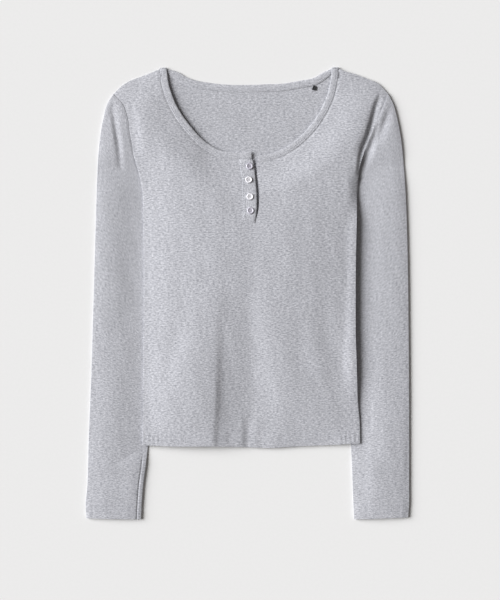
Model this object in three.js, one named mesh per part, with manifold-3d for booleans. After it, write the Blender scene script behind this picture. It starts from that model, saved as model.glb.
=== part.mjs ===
// A long-sleeved ribbed henley top, laid flat on its back with both sleeves folded down beside it.
// Millimetres. +X is across the body, +Y runs from the hem to the neck, +Z is up out of the table.
import * as THREE from "three";
import Module from "manifold-3d";

const wasm = await Module();
wasm.setup();

// ---- Driving sizes ---------------------------------------------------------------------------
const WALL = 1.3; // one layer of the rib knit
const SEAM = 0.3; // the gap between two pieces that are sewn together
const BINDING_WIDTH = 10.5; // the folded strip round the neck
const BINDING_THICK = 2.3; // its two layers of cloth and the turned edges
const PLACKET_THICK = 2.0; // the upper button strip, folded double
const PLACKET_FOOT = 102; // how far up the body the button strip ends
const SLEEVE_HEIGHT = 5.4; // a sleeve lying flat, both layers and the air between
const SLEEVE_UNDER = 4.0; // the same where the body lies on it
const SIDE_PUFF = 2.6; // how far the front lifts off the back near a side fold
const DOME = 8.2; // the extra air under the middle of the front
const FOLD = 8; // how wide the rounding at a folded edge is
const BUTTON_WIDTH = 10.2;
const BUTTON_THICK = 2.4;

// ---- Small tables: one row for a place on an edge --------------------------------------------
const table = (columns, rows) =>
  rows.map((row) => Object.fromEntries(columns.map((name, i) => [name, row[i]])));
const XY = ["x", "y"];

const HEM = table(XY, [
  [-157.5, -228], [-107, -229.5], [-52, -229.5], [-2, -230.6],
  [30, -232], [76, -229.5], [122, -227.6], [168.4, -225],
]);
// From the hem up to the underarm.
const SIDE = {
  right: table(XY, [[-157.5, -228], [-156.2, -130], [-155.4, 0], [-155.6, 80], [-156.3, 141]]),
  left: table(XY, [
    [168.4, -225], [168, -195], [164.9, -160], [163.3, -115], [161.6, -58],
    [161.6, 22], [162.5, 85], [164.3, 147],
  ]),
};
// From the underarm up to the shoulder tip.
const ARMHOLE = {
  right: table(XY, [
    [-156.3, 141], [-158.7, 161], [-163.8, 183], [-170.4, 206], [-176.4, 236],
    [-180, 263], [-187.5, 283], [-201, 298],
  ]),
  left: table(XY, [
    [164.3, 147], [167.3, 184.5], [174.8, 211.5], [185.3, 237], [194.3, 259.5],
    [202.5, 279], [210.5, 299],
  ]),
};
// From the shoulder tip to the neck point.
const SHOULDER = {
  right: table(XY, [
    [-201, 298], [-188, 310.5], [-176, 318], [-164, 322.5], [-152, 327], [-140.3, 331.5],
    [-131.2, 335.6],
  ]),
  left: table(XY, [
    [210.5, 299], [196, 314], [184, 319.5], [172, 324], [160, 328.5], [148, 331.5], [136.6, 336.4],
  ]),
};
// The free edge of the neck, in front: from the neck point down to the button opening.
const NECK_FRONT = {
  right: table(XY, [
    [-120.8, 335.8], [-119.8, 325], [-116.6, 308], [-105, 278.3], [-84.5, 248.6],
    [-61.5, 225.5], [-38.6, 213.6], [-6.8, 210.8], [5.1, 212.3],
  ]),
  left: table(XY, [
    [126.2, 336.5], [124.8, 320], [117.8, 292], [99.3, 257.7], [76.4, 232.5],
    [53.3, 216.3], [32, 208], [15, 206],
  ]),
};
const NECK_BACK = table(XY, [
  [-120.8, 335.8], [-104.3, 331.3], [-92.3, 324.3], [-80.3, 319.5], [-56.3, 315], [-32, 312.4],
  [0, 312], [28, 313], [52, 313.8], [76, 317.8], [99.8, 322.8], [112, 330], [126.2, 336.5],
]);

// The two sleeves, a row for each section across: the outer edge, the inner edge, and how much
// of the armhole's curve is still in the section.
const ACROSS = ["outX", "outY", "inX", "inY", "curve"];
const SLEEVE = {
  right: table(ACROSS, [
    [-201, 298, -156.3, 141, 1],
    [-210, 283, -152.5, 128, 0.97],
    [-216.4, 259, -144, 109, 0.78],
    [-221.5, 227, -135.5, 85, 0.5],
    [-224.6, 190, -129.5, 58, 0.26],
    [-226.2, 145, -128, 34, 0.14],
    [-228, 85, -128.6, 0, 0.05],
    [-229.8, 20, -131.5, -42, 0],
    [-231.6, -40, -135, -86, 0],
    [-233.4, -105, -139, -130, 0],
    [-236, -172, -143.6, -180, 0],
    [-237.8, -215, -148.6, -223, 0],
    [-238.8, -255, -152.2, -256, 0],
    [-240, -290, -156.8, -292, 0],
    [-242.3, -314, -158.6, -318, 0],
    [-241.4, -337.5, -159.5, -339, 0],
  ]),
  left: table(ACROSS, [
    [210.5, 299, 164.3, 147, 1],
    [218.6, 283, 160.5, 133, 0.97],
    [225.2, 258, 152, 112, 0.78],
    [230.4, 229, 143.8, 87, 0.5],
    [234.4, 190, 138, 58, 0.26],
    [237.2, 145, 136, 34, 0.14],
    [239.4, 85, 136.4, 0, 0.05],
    [240.8, 20, 138.5, -42, 0],
    [241.4, -40, 141, -86, 0],
    [242, -105, 145, -130, 0],
    [242.3, -172, 149.8, -180, 0],
    [242.3, -215, 154.6, -223, 0],
    [242.3, -255, 156.4, -256, 0],
    [242.3, -290, 157.8, -292, 0],
    [242.3, -314, 158.8, -318, 0],
    [240.9, -336, 159.8, -339, 0],
  ]),
};

// The upper button strip: its sewn side and its free side, a row for each height.
const PLACKET = table(["y", "sewnX", "freeX", "panelX"], [
  [199.9, -12.4, 7.4, 14.6],
  [192, -11.7, 9.0, 14.6],
  [175, -8.8, 11.2, 16.4],
  [155, -7.8, 13.2, 18.0],
  [139, -7.2, 13.9, 18.2],
  [122, -7.0, 13.2, 17.0],
  [110, -7.2, 12.2, 13.6],
  [PLACKET_FOOT, -7.4, 11.4, 11.7],
]);
const BUTTONS = table(["x", "y"], [[3, 189.6], [2, 169], [3.8, 143.7], [4.5, 122.7]]);
const TAB = { x: 100.2, y: 307.2, wide: 3.8, tall: 7.0, thick: 0.7, turn: -0.32 };

const COLUMNS_SHOULDER = 5;
const ROWS_SIDE = 11;
const ROWS_ARMHOLE = 9;
const NEAR_FOLD = 0.3; // where in the outermost column the extra line for the fold runs

// ---- Small helpers ---------------------------------------------------------------------------
const mix = (a, b, t) => a + (b - a) * t;
const clamp = (t) => Math.min(Math.max(t, 0), 1);
const ease = (t) => clamp(t) ** 2 * (3 - 2 * clamp(t));
const rounding = (t) => 1 - (1 - clamp(t)) ** 2;
const between = (a, b, t) => ({ x: mix(a.x, b.x, t), y: mix(a.y, b.y, t) });

function curve(rows) {
  const points = rows.map((row) => new THREE.Vector3(row.x, row.y, 0));
  return new THREE.CatmullRomCurve3(points, false, "centripetal");
}

function spaced(rows, count) {
  const line = curve(rows);
  return Array.from({ length: count + 1 }, (_, i) => {
    const point = line.getPointAt(i / count);
    return { x: point.x, y: point.y };
  });
}

// The value of one column of a table at a height, the rows running in order of their key.
function reading(rows, key, column, at) {
  const up = rows[0][key] < rows[rows.length - 1][key];
  const ordered = up ? rows : [...rows].reverse();
  if (at <= ordered[0][key]) return ordered[0][column];
  for (let i = 1; i < ordered.length; i += 1) {
    const before = ordered[i - 1];
    const after = ordered[i];
    if (at <= after[key]) {
      return mix(before[column], after[column], (at - before[key]) / (after[key] - before[key]));
    }
  }
  return ordered[ordered.length - 1][column];
}

// Each point of a line moved sideways by an amount, to the left of the way the line runs.
function beside(points, amount) {
  return points.map((point, i) => {
    const before = points[Math.max(i - 1, 0)];
    const after = points[Math.min(i + 1, points.length - 1)];
    const length = Math.hypot(after.x - before.x, after.y - before.y);
    return {
      x: point.x - ((after.y - before.y) / length) * amount,
      y: point.y + ((after.x - before.x) / length) * amount,
    };
  });
}

// ---- The edges every piece shares ------------------------------------------------------------
const sideLine = {};
const armLine = {};
const bodyEdge = {};
for (const hand of ["right", "left"]) {
  sideLine[hand] = spaced(SIDE[hand], ROWS_SIDE);
  armLine[hand] = spaced(ARMHOLE[hand], ROWS_ARMHOLE);
  bodyEdge[hand] = [...sideLine[hand], ...armLine[hand].slice(1)];
}
const UNDERARM = { right: ARMHOLE.right[0].y, left: ARMHOLE.left[0].y };
const edgeX = (hand, y) => reading(bodyEdge[hand], "y", "x", y);
const handOf = (x) => (x < 0 ? "right" : "left");
const inside = (x, y) => Math.abs(edgeX(handOf(x), y)) - Math.abs(x);
const shoulderY = (x) => reading(SHOULDER[handOf(x)], "x", "y", x);

// How far in the hidden edge of the sleeve reaches under the body at a height.
const sleeveReach = (hand, y) => Math.abs(reading(SLEEVE[hand], "inY", "inX", y));

// ---- Heights ---------------------------------------------------------------------------------
// The wearer's left side of the body stands a little higher off its sleeve than the right side.
function sideLift(hand, y) {
  if (hand === "right") return 0.3 * ease((y + 228) / 80);
  return 3.6 * ease((y + 200) / 110) * ease((160 - y) / 60);
}

// The underside of the back: on the table, and up over the sleeves' hidden edges.
function backUnder(x, y) {
  const hand = handOf(x);
  const reach = sleeveReach(hand, Math.min(y, UNDERARM[hand] - 2));
  const across = ease((Math.abs(x) - (reach - 44)) / 32);
  const above = 1 - ease((y - UNDERARM[hand] - 26) / 40);
  const near = ease((Math.abs(x) - 118) / 40);
  return (SLEEVE_UNDER + SEAM) * across * above + sideLift(hand, y) * near * above;
}

// The air between back and front.
function air(x, y) {
  const hand = handOf(x);
  const edge = inside(x, y);
  const arm = SIDE_PUFF * ease((y - UNDERARM[hand] - 10) / 50);
  const side = mix(arm, SIDE_PUFF, rounding(edge / FOLD));
  const high = ease((y - 150) / 150);
  const hem = 1 - 0.42 * ease((-150 - y) / 80);
  const dome = DOME * ease(edge / 110) * mix(1, 0.3, high) * hem;
  const shoulder = Math.abs(x) > 112 ? shoulderY(x) - y : 60;
  const closed = rounding(shoulder / FOLD);
  const neckPoint = 1.5 * ease((165 - Math.abs(x)) / 32);
  return SEAM + mix(Math.min(neckPoint, 1.5), side + dome, closed);
}
const frontUnder = (x, y) => backUnder(x, y) + WALL + air(x, y);

// ---- Solids from grids -----------------------------------------------------------------------
class Faces {
  constructor() {
    this.numbers = [];
  }
  triangle(a, b, c) {
    for (const p of [a, b, c]) this.numbers.push(p.x, p.y, p.z);
  }
  // Four corners, split along the shorter way across.
  quad(a, b, c, d) {
    const apart = (p, q) => Math.hypot(p.x - q.x, p.y - q.y, p.z - q.z);
    if (apart(a, c) <= apart(b, d)) {
      this.triangle(a, b, c);
      this.triangle(a, c, d);
    } else {
      this.triangle(a, b, d);
      this.triangle(b, c, d);
    }
  }
  geometry() {
    const made = new THREE.BufferGeometry();
    made.setAttribute("position", new THREE.Float32BufferAttribute(this.facingOut(), 3));
    made.computeVertexNormals();
    return made;
  }
  facingOut() {
    const n = this.numbers;
    let volume = 0;
    for (let i = 0; i < n.length; i += 9) {
      const a = new THREE.Vector3(n[i], n[i + 1], n[i + 2]);
      const b = new THREE.Vector3(n[i + 3], n[i + 4], n[i + 5]);
      const c = new THREE.Vector3(n[i + 6], n[i + 7], n[i + 8]);
      volume += a.dot(b.cross(c));
    }
    if (volume > 0) return n;
    const turned = [];
    for (let i = 0; i < n.length; i += 9) {
      turned.push(n[i], n[i + 1], n[i + 2], n[i + 6], n[i + 7], n[i + 8]);
      turned.push(n[i + 3], n[i + 4], n[i + 5]);
    }
    return turned;
  }
}

// A sheet of cloth: a grid of places in plan with an underside and a top.
function sheet(plan, under, top) {
  const low = plan.map((row) => row.map((p) => ({ x: p.x, y: p.y, z: under(p.x, p.y) })));
  const high = plan.map((row) => row.map((p) => ({ x: p.x, y: p.y, z: top(p.x, p.y) })));
  const faces = new Faces();
  const rows = plan.length - 1;
  const columns = plan[0].length - 1;
  for (let i = 0; i < rows; i += 1) {
    for (let j = 0; j < columns; j += 1) {
      faces.quad(high[i][j], high[i][j + 1], high[i + 1][j + 1], high[i + 1][j]);
      faces.quad(low[i][j], low[i + 1][j], low[i + 1][j + 1], low[i][j + 1]);
    }
  }
  for (let j = 0; j < columns; j += 1) {
    faces.quad(low[0][j], low[0][j + 1], high[0][j + 1], high[0][j]);
    faces.quad(low[rows][j + 1], low[rows][j], high[rows][j], high[rows][j + 1]);
  }
  for (let i = 0; i < rows; i += 1) {
    faces.quad(low[i + 1][0], low[i][0], high[i][0], high[i + 1][0]);
    faces.quad(low[i][columns], low[i + 1][columns], high[i + 1][columns], high[i][columns]);
  }
  return faces.geometry();
}

// Closed rings joined in order; with an inner set it is a tube wall, without one it is solid.
function joined(outer, inner) {
  const faces = new Faces();
  const count = outer[0].length;
  const last = outer.length - 1;
  for (let k = 0; k < count; k += 1) {
    const next = (k + 1) % count;
    for (let i = 0; i < last; i += 1) {
      faces.quad(outer[i][k], outer[i][next], outer[i + 1][next], outer[i + 1][k]);
      if (inner) faces.quad(inner[i][next], inner[i][k], inner[i + 1][k], inner[i + 1][next]);
    }
    if (inner) {
      faces.quad(outer[0][next], outer[0][k], inner[0][k], inner[0][next]);
      faces.quad(outer[last][k], outer[last][next], inner[last][next], inner[last][k]);
    }
  }
  if (!inner) {
    for (let k = 1; k < count - 1; k += 1) {
      faces.triangle(outer[0][0], outer[0][k + 1], outer[0][k]);
      faces.triangle(outer[last][0], outer[last][k], outer[last][k + 1]);
    }
  }
  return faces.geometry();
}

// A grid between a foot line and a head line. Its ends bend to the two side lines, and that bend
// has died out at the column where the shoulder meets the neck.
function panelPlan(foot, head, right, left) {
  const columns = foot.length - 1;
  const share = (j) => clamp(1 - (j < 2 ? j * NEAR_FOLD : j - 1) / COLUMNS_SHOULDER);
  return right.map((rightPoint, i) => {
    const t = (rightPoint.y - foot[0].y) / (head[0].y - foot[0].y);
    const rightEnd = between(foot[0], head[0], t);
    const leftEnd = between(foot[columns], head[columns], t);
    return foot.map((_, j) => {
      const toRight = share(j);
      const toLeft = share(columns - j);
      const plain = between(foot[j], head[j], t);
      return {
        x: plain.x + toRight * (rightPoint.x - rightEnd.x) + toLeft * (left[i].x - leftEnd.x),
        y: plain.y + toRight * (rightPoint.y - rightEnd.y) + toLeft * (left[i].y - leftEnd.y),
      };
    });
  });
}

// The same line with one more point close to each end, where the cloth folds over.
function folded(points) {
  const last = points.length - 1;
  return [
    points[0],
    between(points[0], points[1], NEAR_FOLD),
    ...points.slice(1, last),
    between(points[last], points[last - 1], NEAR_FOLD),
    points[last],
  ];
}

// ---- The neck --------------------------------------------------------------------------------
const shoulderLine = {
  right: spaced(SHOULDER.right, COLUMNS_SHOULDER),
  left: spaced(SHOULDER.left, COLUMNS_SHOULDER),
};
const neckFree = {
  right: spaced(NECK_FRONT.right, 12),
  left: spaced(NECK_FRONT.left, 11),
  back: spaced(NECK_BACK, 16),
};

// The line where the strip is sewn on, or, a seam's width further on, where the panel starts.
function neckSewn(place, gap) {
  const way = { right: -1, left: 1, back: -1 }[place];
  const line = beside(neckFree[place], way * (BINDING_WIDTH + gap));
  const start = (hand) => {
    const shoulder = shoulderLine[hand][COLUMNS_SHOULDER];
    const inward = hand === "right" ? 1 : -1;
    return { x: shoulder.x + inward * (SEAM - gap), y: shoulder.y };
  };
  if (place === "back") {
    line[0] = start("right");
    line[line.length - 1] = start("left");
  } else {
    line[0] = start(place);
  }
  return line;
}

// ---- Front and back panels -------------------------------------------------------------------
function bodyPlan(neckEdge) {
  const head = folded([
    ...shoulderLine.right.slice(0, -1),
    ...neckEdge,
    ...[...shoulderLine.left].reverse().slice(1),
  ]);
  const foot = folded(spaced(HEM, head.length - 3));
  return panelPlan(foot, head, bodyEdge.right, bodyEdge.left);
}

const frontNeckEdge = [
  ...neckSewn("right", SEAM),
  ...[...neckSewn("left", SEAM)].reverse(),
];
const frontSheet = sheet(bodyPlan(frontNeckEdge), frontUnder, (x, y) => frontUnder(x, y) + WALL);
const backSheet = sheet(
  bodyPlan(neckSewn("back", SEAM)),
  backUnder,
  (x, y) => backUnder(x, y) + WALL,
);

function solidFrom(geometry) {
  const numbers = geometry.getAttribute("position").array;
  const seen = new Map();
  const places = [];
  const triangles = [];
  for (let i = 0; i < numbers.length; i += 3) {
    const place = [numbers[i], numbers[i + 1], numbers[i + 2]];
    const key = place.map((n) => Math.round(n * 1e4)).join(" ");
    if (!seen.has(key)) {
      seen.set(key, places.length / 3);
      places.push(...place);
    }
    triangles.push(seen.get(key));
  }
  return new wasm.Manifold(new wasm.Mesh({
    numProp: 3,
    vertProperties: new Float32Array(places),
    triVerts: new Uint32Array(triangles),
  }));
}

function geometryFrom(solid) {
  const mesh = solid.getMesh();
  const made = new THREE.BufferGeometry();
  const places = new Float32Array(mesh.vertProperties);
  made.setAttribute("position", new THREE.BufferAttribute(places, mesh.numProp));
  made.setIndex(new THREE.BufferAttribute(new Uint32Array(mesh.triVerts), 1));
  made.computeVertexNormals();
  return made;
}

// The button opening: the front is cut away where the two strips go.
function openedFront() {
  const down = PLACKET.map((row) => [row.sewnX - SEAM, row.y]);
  const up = [...PLACKET].reverse().map((row) => [row.panelX, row.y]);
  down[down.length - 1][1] -= SEAM;
  up[0][1] -= SEAM;
  const outline = [[down[0][0], 240], ...down, ...up, [up[up.length - 1][0], 240]];
  const cutter = new wasm.CrossSection([outline], "NonZero").extrude(60).translate([0, 0, -10]);
  return geometryFrom(solidFrom(frontSheet).subtract(cutter));
}

// ---- Button strips ---------------------------------------------------------------------------
function stripPlan(rows, from, to, columns) {
  return rows.map((row) =>
    Array.from({ length: columns + 1 }, (_, j) => ({
      x: mix(from(row), to(row), j / columns),
      y: row.y,
    })),
  );
}
const placketOver = sheet(
  stripPlan(PLACKET, (row) => row.sewnX, (row) => row.freeX, 3),
  frontUnder,
  (x, y) => frontUnder(x, y) + PLACKET_THICK,
);
const underRows = [194, 175, 155, 139, 122, 108].map((y) => ({ y }));
const placketUnder = sheet(
  stripPlan(underRows, () => -5, (row) => reading(PLACKET, "y", "panelX", row.y) + 7, 3),
  (x, y) => frontUnder(x, y) - SEAM - 1.5,
  (x, y) => frontUnder(x, y) - SEAM,
);

// ---- Neck strip: up one side of the front, round the back, down the other side ----------------
function neckStrip() {
  const drop = (BINDING_THICK - WALL) / 2;
  const frontRings = (hand) => {
    const sewn = neckSewn(hand, 0);
    return neckFree[hand].map((free, i) => {
      const low = (p) => frontUnder(p.x, p.y) - drop;
      return [
        { ...free, z: low(free) + BINDING_THICK },
        { ...sewn[i], z: low(sewn[i]) + BINDING_THICK },
        { ...sewn[i], z: low(sewn[i]) },
        { ...free, z: low(free) },
      ];
    });
  };
  const turn = (hand) => {
    const free = neckFree[hand][0];
    const sewn = neckSewn(hand, 0)[0];
    const middle = BINDING_THICK + 0.15;
    return [0.25, 0.5, 0.75].map((part) => {
      const away = Math.sin(part * Math.PI);
      const up = Math.cos(part * Math.PI);
      const at = (p, radius) => ({ x: p.x, y: p.y + radius * away, z: middle + radius * up });
      return [at(free, middle), at(sewn, middle), at(sewn, 0.15), at(free, 0.15)];
    });
  };
  const sewnBack = neckSewn("back", 0);
  const backRings = neckFree.back.map((free, i) => [
    { ...free, z: 0 },
    { ...sewnBack[i], z: 0 },
    { ...sewnBack[i], z: BINDING_THICK },
    { ...free, z: BINDING_THICK },
  ]);
  return joined([
    ...frontRings("right").reverse(),
    ...turn("right"),
    ...backRings,
    ...turn("left").reverse(),
    ...frontRings("left"),
  ]);
}

// ---- Sleeves ---------------------------------------------------------------------------------
// How thick the flat sleeve is: thinner where the body lies on it.
function sleeveHeight(hand, x, y) {
  const out = Math.abs(x) - Math.abs(edgeX(hand, y));
  const beyond = Math.max(
    ease((out - 3) / 14) * ease((UNDERARM[hand] + 60 - y) / 60),
    ease((y - UNDERARM[hand] - 34) / 40),
    ease((-233 - y) / 25),
  );
  return mix(SLEEVE_UNDER, SLEEVE_HEIGHT, beyond);
}

function sleeve(hand) {
  const arm = beside([...armLine[hand]].reverse(), hand === "right" ? -SEAM : SEAM);
  const steps = arm.length - 1;
  const onArm = (u) => {
    const k = Math.min(Math.floor(u * steps), steps - 1);
    return between(arm[k], arm[k + 1], u * steps - k);
  };
  const even = Array.from({ length: steps - 1 }, (_, k) => (k + 1) / steps);
  const places = [0, 0.035, ...even, 0.965, 1];
  const chord = { x: arm[steps].x - arm[0].x, y: arm[steps].y - arm[0].y };
  const chordSquared = chord.x ** 2 + chord.y ** 2;

  // How far the armhole's curve stands off its straight line, along it and beside it.
  const bend = (u) => {
    const point = onArm(u);
    const off = { x: point.x - arm[0].x, y: point.y - arm[0].y };
    return {
      along: (off.x * chord.x + off.y * chord.y) / chordSquared,
      beside: (off.y * chord.x - off.x * chord.y) / chordSquared,
    };
  };
  const across = (row, u) => {
    if (row.curve === 1) return onArm(u);
    const away = bend(u);
    const along = mix(u, away.along, row.curve);
    const side = away.beside * row.curve;
    const way = { x: row.inX - row.outX, y: row.inY - row.outY };
    return {
      x: row.outX + along * way.x - side * way.y,
      y: row.outY + along * way.y + side * way.x,
    };
  };
  const ring = (row, inward) => {
    const length = Math.hypot(row.inX - row.outX, row.inY - row.outY);
    const at = (u, side) => {
      const place = across(row, Math.min(Math.max(u, inward / length), 1 - inward / length));
      const plan = across(row, u);
      const tall = sleeveHeight(hand, plan.x, plan.y);
      const near = Math.min(u, 1 - u) * length;
      const half = (tall / 2 - inward) * rounding(near / FOLD);
      return { x: place.x, y: place.y, z: tall / 2 + side * half };
    };
    const top = places.map((u) => at(u, 1));
    const below = [...places].slice(1, -1).reverse().map((u) => at(u, -1));
    return [...top, ...below];
  };
  const rows = [...SLEEVE[hand]].reverse(); // from the cuff up
  return joined(rows.map((row) => ring(row, 0)), rows.map((row) => ring(row, WALL)));
}

// ---- Buttons and the small tab ---------------------------------------------------------------
const BUTTON_PROFILE = table(["out", "up"], [
  [0, 0], [0.72, 0], [0.94, 0.25], [1, 0.55], [0.94, 0.9], [0.8, 1], [0.66, 0.9], [0.56, 0.62],
  [0, 0.58],
]);

function button() {
  const sides = 14;
  const around = (row, k) => {
    const turn = (k / sides) * 2 * Math.PI;
    const radius = (row.out * BUTTON_WIDTH) / 2;
    return {
      x: radius * Math.cos(turn),
      y: radius * Math.sin(turn),
      z: row.up * BUTTON_THICK,
    };
  };
  const faces = new Faces();
  const last = BUTTON_PROFILE.length - 1;
  for (let k = 0; k < sides; k += 1) {
    const next = k + 1 === sides ? 0 : k + 1;
    for (let i = 1; i < last - 1; i += 1) {
      const [here, above] = [BUTTON_PROFILE[i], BUTTON_PROFILE[i + 1]];
      faces.quad(around(here, k), around(here, next), around(above, next), around(above, k));
    }
    const foot = BUTTON_PROFILE[1];
    const rim = BUTTON_PROFILE[last - 1];
    faces.triangle(around(BUTTON_PROFILE[0], 0), around(foot, next), around(foot, k));
    faces.triangle(around(BUTTON_PROFILE[last], 0), around(rim, k), around(rim, next));
  }
  return faces.geometry();
}

// Laid on the strip at its own slope.
function placedButton({ x, y }) {
  const rise = (frontUnder(x, y + 4) - frontUnder(x, y - 4)) / 8;
  const tilt = (frontUnder(x + 4, y) - frontUnder(x - 4, y)) / 8;
  const made = button();
  made.rotateX(Math.atan(rise));
  made.rotateY(-Math.atan(tilt));
  made.translate(x, y, frontUnder(x, y) + PLACKET_THICK + SEAM);
  return made;
}

function tab() {
  const plan = [-0.5, 0, 0.5].map((down) =>
    [-0.5, 0, 0.5].map((over) => {
      const [a, b] = [over * TAB.wide, down * TAB.tall];
      return {
        x: TAB.x + a * Math.cos(TAB.turn) - b * Math.sin(TAB.turn),
        y: TAB.y + a * Math.sin(TAB.turn) + b * Math.cos(TAB.turn),
      };
    }),
  );
  const under = (x, y) => backUnder(x, y) + WALL + SEAM;
  return sheet(plan, under, (x, y) => under(x, y) + TAB.thick);
}

// ---- The whole top ---------------------------------------------------------------------------
const CLOTH = new THREE.MeshStandardMaterial({ color: 0xb4b5bc, roughness: 0.9 });
const TRIM = new THREE.MeshStandardMaterial({ color: 0xb9bac1, roughness: 0.9 });
const PEARL = new THREE.MeshStandardMaterial({ color: 0xdedce2, roughness: 0.3 });
const BLACK = new THREE.MeshStandardMaterial({ color: 0x17171a, roughness: 0.8 });

const henley = new THREE.Group();
henley.name = "henley";

function add(name, geometry, material) {
  const mesh = new THREE.Mesh(geometry, material);
  mesh.name = name;
  henley.add(mesh);
}

add("body_front", openedFront(), CLOTH);
add("body_back", backSheet, CLOTH);
add("sleeve_right", sleeve("right"), CLOTH);
add("sleeve_left", sleeve("left"), CLOTH);
add("neck_binding", neckStrip(), TRIM);
add("placket_over", placketOver, TRIM);
add("placket_under", placketUnder, TRIM);
BUTTONS.forEach((place, i) => add(`button_${i + 1}`, placedButton(place), PEARL));
add("neck_tab", tab(), BLACK);

export default henley;
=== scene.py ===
# %% [markdown]
# # A ribbed henley top, laid flat
# A long-sleeved top in grey heather rib lies on its back on a pale table, its sleeves folded down
# beside it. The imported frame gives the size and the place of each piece. This lesson replaces its
# plain cloth solids with fine cloth, piece by piece, in the order in which a maker would cut them.

import math

import bmesh
import bpy
import numpy as np
from mathutils import Matrix, Vector


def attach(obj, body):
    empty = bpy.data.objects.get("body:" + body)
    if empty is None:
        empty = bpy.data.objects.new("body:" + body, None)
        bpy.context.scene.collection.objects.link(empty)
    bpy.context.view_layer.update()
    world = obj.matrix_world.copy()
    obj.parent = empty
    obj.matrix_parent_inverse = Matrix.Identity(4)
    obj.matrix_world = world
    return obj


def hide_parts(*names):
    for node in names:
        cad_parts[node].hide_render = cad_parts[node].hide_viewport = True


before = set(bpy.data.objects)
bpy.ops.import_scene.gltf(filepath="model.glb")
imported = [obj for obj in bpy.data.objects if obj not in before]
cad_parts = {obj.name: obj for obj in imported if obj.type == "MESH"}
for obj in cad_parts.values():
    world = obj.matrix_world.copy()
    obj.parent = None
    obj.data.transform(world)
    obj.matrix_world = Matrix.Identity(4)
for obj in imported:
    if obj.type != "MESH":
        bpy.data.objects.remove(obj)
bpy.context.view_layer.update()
MM = 0.001

# %% [markdown]
# ## The lines that the pieces are cut to
# Every panel of a top is bounded by a few seams. They are written here as short tables of
# millimetres, each a few places on one seam, and joined by a smooth line. The same seams bound
# the solids of the frame, so each fine piece lands on the solid it stands for.

# %% Seams in plan, in millimetres
HEM = [(-157.5, -228), (-107, -229.5), (-52, -229.5), (-2, -230.6), (30, -232), (76, -229.5),
       (122, -227.6), (168.4, -225)]
SIDE = {
    "right": [(-157.5, -228), (-156.2, -130), (-155.4, 0), (-155.6, 80), (-156.3, 141)],
    "left": [(168.4, -225), (168, -195), (164.9, -160), (163.3, -115), (161.6, -58), (161.6, 22),
             (162.5, 85), (164.3, 147)],
}
ARMHOLE = {
    "right": [(-156.3, 141), (-158.7, 161), (-163.8, 183), (-170.4, 206), (-176.4, 236),
              (-180, 263), (-187.5, 283), (-201, 298)],
    "left": [(164.3, 147), (167.3, 184.5), (174.8, 211.5), (185.3, 237), (194.3, 259.5),
             (202.5, 279), (210.5, 299)],
}
SHOULDER = {
    "right": [(-201, 298), (-188, 310.5), (-176, 318), (-164, 322.5), (-152, 327),
              (-140.3, 331.5), (-131.2, 335.6)],
    "left": [(210.5, 299), (196, 314), (184, 319.5), (172, 324), (160, 328.5), (148, 331.5),
             (136.6, 336.4)],
}
NECK_FRONT = {
    "right": [(-120.8, 335.8), (-119.8, 325), (-116.6, 308), (-105, 278.3), (-84.5, 248.6),
              (-61.5, 225.5), (-38.6, 213.6), (-6.8, 210.8), (5.1, 212.3)],
    "left": [(126.2, 336.5), (124.8, 320), (117.8, 292), (99.3, 257.7), (76.4, 232.5),
             (53.3, 216.3), (32, 208), (15, 206)],
}
NECK_BACK = [(-120.8, 335.8), (-104.3, 331.3), (-92.3, 324.3), (-80.3, 319.5), (-56.3, 315),
             (-32, 312.4), (0, 312), (28, 313), (52, 313.8), (76, 317.8), (99.8, 322.8),
             (112, 330), (126.2, 336.5)]
SLEEVE = {  # outer edge x, y; inner edge x, y; how much of the armhole's curve is left
    "right": [(-201, 298, -156.3, 141, 1), (-210, 283, -152.5, 128, 0.97),
              (-216.4, 259, -144, 109, 0.78), (-221.5, 227, -135.5, 85, 0.5),
              (-224.6, 190, -129.5, 58, 0.26), (-226.2, 145, -128, 34, 0.14),
              (-228, 85, -128.6, 0, 0.05), (-229.8, 20, -131.5, -42, 0),
              (-231.6, -40, -135, -86, 0), (-233.4, -105, -139, -130, 0),
              (-236, -172, -143.6, -180, 0), (-237.8, -215, -148.6, -223, 0),
              (-238.8, -255, -152.2, -256, 0), (-240, -290, -156.8, -292, 0),
              (-242.3, -314, -158.6, -318, 0), (-241.4, -337.5, -159.5, -339, 0)],
    "left": [(210.5, 299, 164.3, 147, 1), (218.6, 283, 160.5, 133, 0.97),
             (225.2, 258, 152, 112, 0.78), (230.4, 229, 143.8, 87, 0.5),
             (234.4, 190, 138, 58, 0.26), (237.2, 145, 136, 34, 0.14),
             (239.4, 85, 136.4, 0, 0.05), (240.8, 20, 138.5, -42, 0),
             (241.4, -40, 141, -86, 0), (242, -105, 145, -130, 0),
             (242.3, -172, 149.8, -180, 0), (242.3, -215, 154.6, -223, 0),
             (242.3, -255, 156.4, -256, 0), (242.3, -290, 157.8, -292, 0),
             (242.3, -314, 158.8, -318, 0), (240.9, -336, 159.8, -339, 0)],
}
PLACKET = [  # height, sewn side, free side, the edge of the other front
    (199.9, -12.4, 7.6, 14.0), (192, -11.7, 9.6, 13.4), (175, -8.8, 11.6, 15.0),
    (155, -7.8, 13.4, 17.0), (139, -7.2, 14.1, 17.4), (122, -7.0, 13.6, 16.2),
    (112, -7.2, 12.6, 13.4), (102, -7.4, 11.6, 11.6)]
WALL = 1.0  # one layer of cloth
SEAM = 0.3
BINDING_WIDTH = 10.5
BINDING_THICK = 2.3
SLEEVE_HEIGHT = 5.4
SLEEVE_UNDER = 2.8
UNDERARM = {"right": 141, "left": 147}

# %% [markdown]
# ## Smooth lines through a few places
# A seam is a gentle curve, and a few places say all of it. The line below goes through every
# place and never kinks. It is then walked in even steps, so a share from 0 to 1 means the same
# thing on every seam: how far along the sewing machine has gone.


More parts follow.
